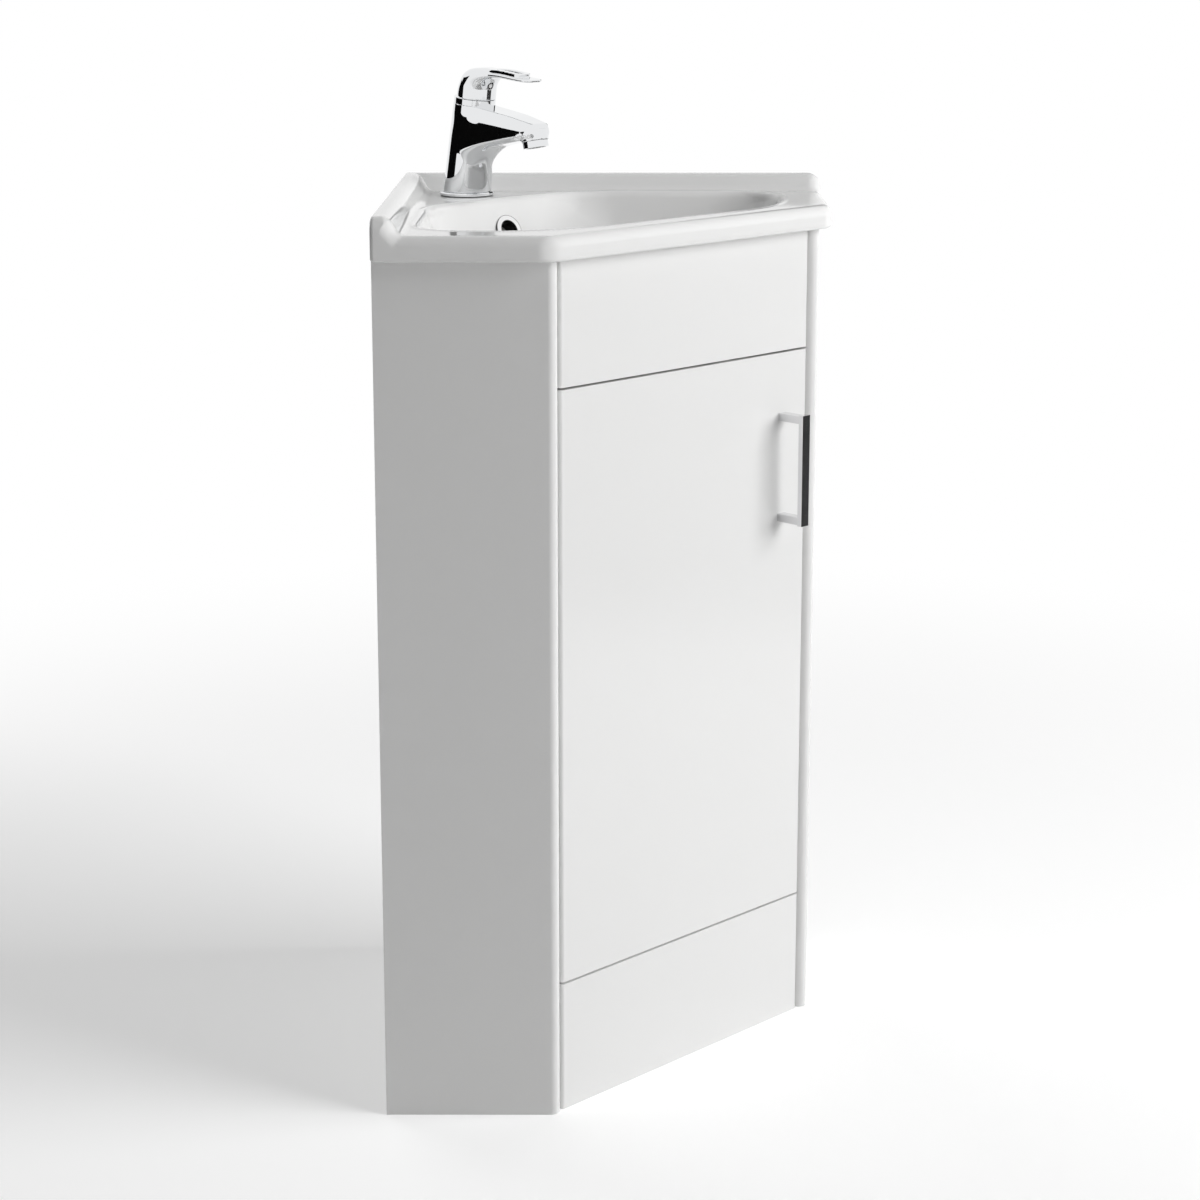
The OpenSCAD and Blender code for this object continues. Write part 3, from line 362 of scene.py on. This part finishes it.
def dress_cad_nodes():
    """The look of its material slot on each CAD node, and own looks on three of them."""
    for name, piece in frame["nodes"].items():
        mesh = piece.data
        mesh.materials.clear()
        mesh.materials.append(LOOKS[SLOTS[name]])
    # The overflow ring's and the index dot's own looks carry painted shade, and the index dot's also a
    # painted reflection.
    own_looks = {"overflow_ring": overflow_look(), "index_plug": index_look(), "door_handle": HANDLE_LOOK}
    for name, look in own_looks.items():
        frame["nodes"][name].data.materials[0] = look


def soften_edges():
    """Fine rounded edges on the boards and the handle bar."""
    for name, width in SOFT_EDGES.items():
        piece = frame["nodes"][name]
        # The normals that came with the mesh would hide the rounded edge.
        own = piece.data.attributes.get("custom_normal")
        if own:
            piece.data.attributes.remove(own)
        weld = piece.modifiers.new("weld", "WELD")
        weld.merge_threshold = 0.00001
        bevel = piece.modifiers.new("bevel", "BEVEL")
        bevel.width = width * MM
        bevel.segments = 2
        bevel.limit_method = "ANGLE"
        bevel.angle_limit = math.radians(40)
        piece.modifiers.new("normals", "WEIGHTED_NORMAL")


# ---------------------------------------------------------------- cast forms
# Each cast form is a function of x, y and z in millimetres that is negative inside the form.

CELL_CORNERS = np.array([(i, j, k) for i in (0, 1) for j in (0, 1) for k in (0, 1)])


def inside_both(a, b, r):
    """Where two forms overlap, with the edge between them rounded by r."""
    return np.minimum(-r, np.maximum(a, b)) + np.hypot(np.maximum(a + r, 0), np.maximum(b + r, 0))


def joined(a, b, r):
    """Two forms in one, with the corner between them filled by a fillet of r."""
    return np.maximum(r, np.minimum(a, b)) - np.hypot(np.maximum(r - a, 0), np.maximum(r - b, 0))


def without(a, b, r=0.3):
    """The first form with the second cut out of it, and the new edge rounded by r."""
    return inside_both(a, -b, r)


def slope_of(field, points, reach=0.02):
    """How the field changes at each point, measured a small way to both sides."""
    slope = np.empty_like(points)
    for axis in range(3):
        ahead, behind = points.copy(), points.copy()
        ahead[:, axis] += reach
        behind[:, axis] -= reach
        slope[:, axis] = (field(*ahead.T) - field(*behind.T)) / (2 * reach)
    return slope


def settle(field, points, most, rounds=4):
    """Moves points onto the surface along its slope, and gives the surface's normals there."""
    for _ in range(rounds):
        slope = slope_of(field, points)
        steep = np.maximum((slope ** 2).sum(1), 0.2)
        move = -slope * (field(*points.T) / steep)[:, None]
        length = np.linalg.norm(move, axis=1)
        points = points + move * np.minimum(1, most / np.maximum(length, 1e-9))[:, None]
    slope = slope_of(field, points)
    return points, slope / np.maximum(np.linalg.norm(slope, axis=1), 1e-9)[:, None]


def crossed_cells(inner):
    """Which cells of the grid have corners on both sides of the surface."""
    size = np.array(inner.shape) - 1
    some, every = np.zeros(size, bool), np.ones(size, bool)
    for i, j, k in CELL_CORNERS:
        part = inner[i:size[0] + i, j:size[1] + j, k:size[2] + k]
        some |= part
        every &= part
    return some & ~every


def net_points(value, cells):
    """One point in each cell, midway between the places where the surface crosses its edges."""
    total, count = np.zeros(cells.shape), np.zeros(len(cells))
    for start in CELL_CORNERS:
        for axis in np.flatnonzero(start == 0):
            end = start.copy()
            end[axis] = 1
            v0, v1 = value[tuple((cells + start).T)], value[tuple((cells + end).T)]
            cross = (v0 < 0) != (v1 < 0)
            share = np.where(cross, v0 / np.where(cross, v0 - v1, 1), 0)
            total += cross[:, None] * (cells + start + share[:, None] * (end - start))
            count += cross
    return total / count[:, None]


def net_faces(inner, number, axis):
    """Four-sided faces round the grid's edges along one axis that pass through the surface."""
    size = number.shape
    first = np.moveaxis(inner, axis, 0)[:-1]
    change = np.moveaxis(first != np.moveaxis(inner, axis, 0)[1:], 0, axis)
    outward = np.moveaxis(first, 0, axis)
    at = np.argwhere(change)
    a, b = [k for k in range(3) if k != axis]
    at = at[(at[:, a] > 0) & (at[:, b] > 0) & (at[:, a] < size[a]) & (at[:, b] < size[b])]
    ring = []
    for back_a, back_b in ((0, 0), (1, 0), (1, 1), (0, 1)):
        cell = at.copy()
        cell[:, a] -= back_a
        cell[:, b] -= back_b
        ring.append(number[tuple(cell.T)])
    quads = np.stack(ring, 1)
    turn = outward[tuple(at.T)] == (axis == 1)
    quads[turn] = quads[turn][:, ::-1]
    return quads


def surface_net(field, low, high, step):
    """Points and four-sided faces of the surface where the field is zero, on a regular grid."""
    low, high = np.array(low, float), np.array(high, float)
    lines = [np.arange(a, b + step, step) for a, b in zip(low, high)]
    value = field(*np.meshgrid(*lines, indexing="ij"))
    inner = value < 0
    crossed = crossed_cells(inner)
    cells = np.argwhere(crossed)
    number = np.full(crossed.shape, -1)
    number[crossed] = np.arange(len(cells))
    points = low + step * net_points(value, cells)
    return points, np.concatenate([net_faces(inner, number, axis) for axis in range(3)])


def cast(name, field, low, high, step):
    """A Blender mesh of a cast form, with normals taken from the form itself."""
    points, faces = surface_net(field, low, high, step)
    points, normals = settle(field, points, step / 2)
    mesh = bpy.data.meshes.new(name)
    mesh.from_pydata(points * MM, [], faces)
    mesh.shade_smooth()
    mesh.normals_split_custom_set_from_vertices(normals)
    piece = bpy.data.objects.new(name, mesh)
    bpy.context.scene.collection.objects.link(piece)
    return piece


def stand_for(piece, node, body):
    """A cast piece takes over from its CAD node: its body, its material slot and its place."""
    slot = SLOTS[node]
    piece.data.materials.append(LOOKS[slot])
    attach(piece, body)
    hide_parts(node)


# ---------------------------------------------------------------- basin

ROOT2 = math.sqrt(2)
CORNER_Y = 207.361
DECK_Z = 794
DECK_T = 12
RIM_UNDER_Z = 772
WALL_LEN = 408.5
FRONT_D = 396.72
RIM_CORNER_R = 9
RIM_EDGE_R = 10
RIM_FOOT_R = 4
WALL_EDGE_R = 3
UPSTAND_TOP_Z = 810
UPSTAND_W = 15
UPSTAND_LEAN = math.radians(30)
UPSTAND_SHOULDER_R = 5
UPSTAND_END_R = 14
UPSTAND_FOOT_R = 5
LIP_Z = 782
LIP_R = 8
BOWL_FLOOR_Z = 676
BOWL_FLOOR_R = 38
BOWL_WALL_T = 9
# Each side of the bowl: its place at the lip, and how far it leans in below the lip, in degrees.
SIDE_AT, SIDE_TILT = 33, 27.9
END_AT, END_TILT = 361.5, 37.5
FRONT_AT, FRONT_TILT = 367.0, 38.4
BACK_AT, BACK_TILT = 139.3, 24.5
# The bend between a side's upright and leaning part, and the corners between the sides.
BEND_R = 12
SIDE_END_R, END_FRONT_R, BACK_SIDE_R = 50, 40, 28
# The hollow under the tap: how far in from the walls, and how far out from the room corner.
POCKET_IN, POCKET_D = 26, 131.5
DUCT_HALF_W = 16
# The duct's section: distances from the room corner, and depths under the deck.
DUCT_OUTLINE = [(116, 12), (150, 12), (240, 122), (240, 141), (210, 141), (136, 122), (116, 48)]
WASTE_D = 240
WASTE_HOLE_R = 23
FLANGE_SEAT_R, FLANGE_SEAT_H = 33, 2.5
BOSS_R, BOSS_DOWN, BOSS_HALF_H = 36, 11, 12
TAP_D = 90
TAP_HOLE_R = 17.5
OVERFLOW_TILT = math.radians(24.47)
OVERFLOW_Y, OVERFLOW_Z, OVERFLOW_R = 59.86, 764, 11
OVERFLOW_REACH = 24


def plan(x, y):
    """Distances along the right-hand wall, along the left-hand wall and from the room corner."""
    far = CORNER_Y - y
    return (far + x) / ROOT2, (far - x) / ROOT2, far


def rim_block(along_a, along_b, far, r):
    """Outer edge of the basin in plan, away from the walls."""
    front = far - FRONT_D
    right = inside_both(along_a - WALL_LEN, front, r)
    left = inside_both(along_b - WALL_LEN, front, r)
    return np.maximum(right, left)


def upstand(across, z):
    """Upstand along a wall: flat top, rounded shoulder and a slope."""
    up = z - UPSTAND_TOP_Z
    slope = (across - UPSTAND_W) * math.cos(UPSTAND_LEAN) + up * math.sin(UPSTAND_LEAN)
    return inside_both(up, slope, UPSTAND_SHOULDER_R)


def tap_pocket(along_a, along_b, far, z):
    """Room under the tap's part of the deck, which leaves the deck DECK_T thick."""
    sides = POCKET_IN - np.minimum(along_a, along_b)
    return np.maximum(sides, np.maximum(far - POCKET_D, z - (DECK_Z - DECK_T)))


def bowl_side(offset, z, tilt_deg):
    """One side of the bowl: upright at the lip, leaning inward under it."""
    tilt = math.radians(tilt_deg)
    leaning = offset * math.cos(tilt) + (LIP_Z - z) * math.sin(tilt)
    return inside_both(offset, leaning, BEND_R)


def bowl(along_a, along_b, far, z):
    """The bowl's hollow, with its own rounding at each kind of corner."""
    side = bowl_side(SIDE_AT - np.minimum(along_a, along_b), z, SIDE_TILT)
    end = bowl_side(np.maximum(along_a, along_b) - END_AT, z, END_TILT)
    front = bowl_side(far - FRONT_AT, z, FRONT_TILT)
    back = bowl_side(BACK_AT - far, z, BACK_TILT)
    walls = np.maximum(inside_both(side, end, SIDE_END_R), inside_both(end, front, END_FRONT_R))
    walls = np.maximum(walls, inside_both(back, side, BACK_SIDE_R))
    return inside_both(walls, BOWL_FLOOR_Z - z, BOWL_FLOOR_R)


def duct(x, far, z):
    """Cast cover of the overflow's way, from behind the bowl to the waste."""
    depth = DECK_Z - z
    form = np.abs(x) - DUCT_HALF_W
    for (d0, t0), (d1, t1) in zip(DUCT_OUTLINE, DUCT_OUTLINE[1:] + DUCT_OUTLINE[:1]):
        length = math.hypot(d1 - d0, t1 - t0)
        side = ((far - d0) * (t1 - t0) - (depth - t0) * (d1 - d0)) / length
        form = inside_both(form, side, 3)
    return form


def overflow_hole(x, y, z):
    """Round hole through the bowl's back wall, square to that leaning wall."""
    out_y, out_z = y - OVERFLOW_Y, z - OVERFLOW_Z
    across = out_y * math.cos(OVERFLOW_TILT) - out_z * math.sin(OVERFLOW_TILT)
    up = out_y * math.sin(OVERFLOW_TILT) + out_z * math.cos(OVERFLOW_TILT)
    return np.maximum(np.hypot(x, up) - OVERFLOW_R, np.abs(across) - OVERFLOW_REACH)


def basin_form(x, y, z):
    """The whole casting: deck and upstands, bowl, duct and waste boss, then the holes."""
    along_a, along_b, far = plan(x, y)
    walls = inside_both(-along_a, -along_b, WALL_EDGE_R)
    edge = rim_block(along_a, along_b, far, RIM_CORNER_R)
    deck = inside_both(edge, z - DECK_Z, RIM_EDGE_R)
    stands = np.minimum(upstand(along_a, z), upstand(along_b, z))
    stands = inside_both(edge, stands, UPSTAND_END_R)
    fillet = np.interp(z, [DECK_Z - RIM_EDGE_R, DECK_Z], [0.5, UPSTAND_FOOT_R])
    body = joined(deck, stands, fillet)
    body = inside_both(body, RIM_UNDER_Z - z, RIM_FOOT_R)
    body = without(body, tap_pocket(along_a, along_b, far, z), 1.5)
    hollow = bowl(along_a, along_b, far, z)
    shell = inside_both(hollow - BOWL_WALL_T, z - (DECK_Z - 2), 1)
    body = np.maximum(joined(body, shell, 5), edge)
    body = joined(body, duct(x, far, z), 3)
    from_waste = np.hypot(x, far - WASTE_D)
    boss = inside_both(from_waste - BOSS_R, np.abs(z - BOWL_FLOOR_Z + BOSS_DOWN) - BOSS_HALF_H, 1.5)
    body = joined(body, boss, 2)
    body = inside_both(body, walls, WALL_EDGE_R)
    body = without(body, hollow, LIP_R)
    body = without(body, np.maximum(from_waste - WASTE_HOLE_R, z - BOWL_FLOOR_Z - 30))
    seat = np.maximum(from_waste - FLANGE_SEAT_R, BOWL_FLOOR_Z - FLANGE_SEAT_H - z)
    body = without(body, seat, 1)
    body = without(body, np.hypot(x, far - TAP_D) - TAP_HOLE_R, 0.5)
    return without(body, overflow_hole(x, y, z), 0.8)


# ---------------------------------------------------------------- tap

HEAD_Y, HEAD_Z = 104.221, 887.5
HEAD_LEAN = math.radians(8)
HEAD_R = 20
COLUMN_TAPER = 0.036
COLLAR_H = 5.5
TAP_Y = CORNER_Y - TAP_D
BODY_Z = DECK_Z + 3.8
CARTRIDGE_R, CARTRIDGE_DEEP = 17.1, 41.6
SPOUT_REACH = 104
SPOUT_ROOT = 6
# Lines of the spout's top and underside: height over the deck at a place ahead of the tap's
# centre, slope, and cosine of that slope, rounded.
SPOUT_TOP = (89, 30, -0.2162, 0.977)
SPOUT_UNDER = (50, 50, 0.2, 0.98)
# The flanks are upright up to the fold line and lean in above it, FOLD_R rounding the change.
FOLD_H, FOLD_FALL, FOLD_R = 74, 0.10, 4
FLANK_LEAN, FLANK_SHARE = 0.17, 0.96
SPOUT_HALF_W, SPOUT_TAPER = 19.8, 3.0
NOSE_FROM, NOSE_TAPER = 60, 3.8
SPOUT_FILLET_R, SPOUT_FILLET_FADE = 23, [60, 86]
AERATOR_AT = (97, 51)
AERATOR_TILT = math.radians(12)
AERATOR_NECK_R, AERATOR_BORE_R = 12.8, 11.05
# The lever's sizes run forward of the head's axis and along it, from the lever's pivot.
BLADE_REACH, BLADE_HALF_W, BLADE_UNDER = 80.5, 12, 3.8
BLADE_AT, BLADE_THICK = [0, 40, 80], [4.6, 3.2, 2.3]
WAIST_AT, WAIST_LONG, WAIST_IN = 26, 10, 0.8
LEVER_TOP_H, LEVER_TOP_RISE = 31.5, 0.06
CROWN_AT, CROWN_LONG, CROWN_H = 42, 16, 0.9
ARCH_FROM, ARCH_LONG, ARCH_HIGH = 20, 40.3, 28.5
TOP_EDGE_AT, TOP_EDGE_R = [0, 30], [16, 0.6]
LOOP_HALF_W, LOOP_REACH, LOOP_H = 9.4, 66, 6.5
SLOT_MID, SLOT_HALF, SLOT_R = 46, 12, 4.2
DOME_R = 17.3
LIFT = math.radians(20)
INDEX_H, INDEX_R = 14.8, 3.4


def head_axes(y, z):
    """Forward of the leaning head's axis, and height along it from the lever's pivot."""
    back, up = HEAD_Y - y, z - HEAD_Z
    forward = back * math.cos(HEAD_LEAN) - up * math.sin(HEAD_LEAN)
    return forward, back * math.sin(HEAD_LEAN) + up * math.cos(HEAD_LEAN)


def aerator_axes(ahead, up):
    """Height along the aerator's tilted axis, and distance ahead of it."""
    out_y, out_z = ahead - AERATOR_AT[0], up - AERATOR_AT[1]
    rise = -out_y * math.sin(AERATOR_TILT) + out_z * math.cos(AERATOR_TILT)
    return rise, out_y * math.cos(AERATOR_TILT) + out_z * math.sin(AERATOR_TILT)


def over_line(ahead, up, line):
    """How far above a sloping line a point lies."""
    height, start, slope, share = line
    return ((up - height) - (ahead - start) * slope) * share


def spout_form(x, ahead, up):
    """Falling top, rising underside, and flanks that lean in above a fold line."""
    top = over_line(ahead, up, SPOUT_TOP)
    under = -over_line(ahead, up, SPOUT_UNDER)
    above = up - (FOLD_H - FOLD_FALL * ahead)
    lean = (np.hypot(above, FOLD_R) + above) * FLANK_LEAN
    nose = np.clip((ahead - NOSE_FROM) / (SPOUT_REACH - NOSE_FROM), 0, 1) ** 2
    half = SPOUT_HALF_W - SPOUT_TAPER * ahead / SPOUT_REACH - NOSE_TAPER * nose
    side = (np.abs(x) + lean - half) * FLANK_SHARE
    spout = inside_both(top, side, 1.6)
    spout = inside_both(spout, under, 6)
    spout = inside_both(spout, ahead - SPOUT_REACH, 3)
    return inside_both(spout, SPOUT_ROOT - ahead, 3)


def tap_body_form(x, y, z):
    """Leaning column, spout and aerator socket, with the cartridge's bore and the outlet."""
    forward, along = head_axes(y, z)
    from_axis = np.hypot(x, forward)
    column = from_axis - (HEAD_R - COLUMN_TAPER * (along + COLLAR_H))
    ahead, up = TAP_Y - y, z - DECK_Z
    facing = 1 - (x / np.maximum(from_axis, 1)) ** 2
    fillet = 3 + facing * np.interp(up, SPOUT_FILLET_FADE, [SPOUT_FILLET_R, 0])
    body = joined(column, spout_form(x, ahead, up), fillet)
    rise, off = aerator_axes(ahead, up)
    from_outlet = np.hypot(x, off)
    socket = inside_both(from_outlet - AERATOR_NECK_R, np.abs(rise - 11) - 5, 0.6)
    body = joined(body, socket, 2)
    body = inside_both(body, BODY_Z - z, 0.8)
    body = inside_both(body, along + COLLAR_H, 0.5)
    body = without(body, np.maximum(from_axis - CARTRIDGE_R, -CARTRIDGE_DEEP - along))
    return without(body, np.maximum(from_outlet - AERATOR_BORE_R, rise - 7.2))


def swell(place, middle, spread):
    """Rises smoothly to 1 at the middle, and falls to nothing on both sides of it."""
    return np.exp(-((place - middle) / spread) ** 2)


def lever_blade(x, forward, flat):
    """Flat blade with a slight waist, thinner toward its tip."""
    thick = np.interp(forward, BLADE_AT, BLADE_THICK)
    side = np.abs(x) - (BLADE_HALF_W - WAIST_IN * swell(forward, WAIST_AT, WAIST_LONG))
    outline = inside_both(inside_both(side, forward - BLADE_REACH, 8), -forward, 3)
    return inside_both(np.abs(flat + BLADE_UNDER + thick / 2) - thick / 2, outline, thick * 0.45)


def lever_loop(x, forward, flat):
    """Raised loop on the blade, round the finger slot."""
    loop = inside_both(np.abs(x) - LOOP_HALF_W, forward - LOOP_REACH, 6)
    return inside_both(np.maximum(loop, -forward), -(flat + LOOP_H), 0.5)


def tap_lever_form(x, y, z):
    """Domed cap with its blade and loop, less the dome's seat, the slot and the index hole."""
    forward, along = head_axes(y, z)
    from_axis = np.hypot(x, forward)
    past = forward - ARCH_FROM
    arch = (np.hypot(past / ARCH_LONG, np.maximum(along - 3, 0) / ARCH_HIGH) - 1) * 30
    crown = CROWN_H * swell(forward, CROWN_AT, CROWN_LONG)
    flat = along - LEVER_TOP_H - past * LEVER_TOP_RISE - crown
    top = np.where(forward < ARCH_FROM, arch, flat)
    lever = joined(from_axis - (HEAD_R - 0.2), lever_blade(x, forward, flat), 13)
    lever = joined(lever, lever_loop(x, forward, flat), 0.6)
    lever = inside_both(lever, top, np.interp(forward, TOP_EDGE_AT, TOP_EDGE_R))
    lever = inside_both(lever, 0.5 - along, 0.6)
    lever = without(lever, np.sqrt(from_axis ** 2 + along ** 2) - DOME_R, 0.4)
    relief = np.maximum(along * math.cos(LIFT) + forward * math.sin(LIFT) - 0.5, forward)
    lever = without(lever, relief, 0.4)
    slot = np.hypot(x, np.maximum(np.abs(forward - SLOT_MID) - SLOT_HALF, 0)) - SLOT_R
    lever = without(lever, np.maximum(slot, 22 - along), 1.0)
    dot = np.maximum(np.hypot(x, along - INDEX_H) - INDEX_R - 0.1, 10 - forward)
    return without(lever, dot, 0.3)


# ---------------------------------------------------------------- pieces

def add_cast(name, node, body, field, margin, step):
    """Casts a form round the box of its CAD node and lets it stand for that node."""
    low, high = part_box(node)
    spare = Vector((margin, margin, margin))
    piece = cast(name, field, low / MM - spare, high / MM + spare, step)
    stand_for(piece, node, body)


def add_basin():
    add_cast("basin_casting", "basin", "base", basin_form, margin=3, step=2.1)


def add_tap_body():
    add_cast("tap_casting", "tap_body", "base", tap_body_form, margin=4, step=1.1)


def add_tap_lever():
    add_cast("lever_casting", "tap_lever", "lever", tap_lever_form, margin=4, step=0.65)


add_camera()
add_world()
add_lamp("key", **KEY_LAMP)
add_lamp("back", **BACK_LAMP)
add_lamp("top", **TOP_LAMP)
add_floor()
add_cards()
dress_cad_nodes()
soften_edges()
add_basin()
add_tap_body()
add_tap_lever()
bpy.context.scene.view_settings.view_transform = "Standard"
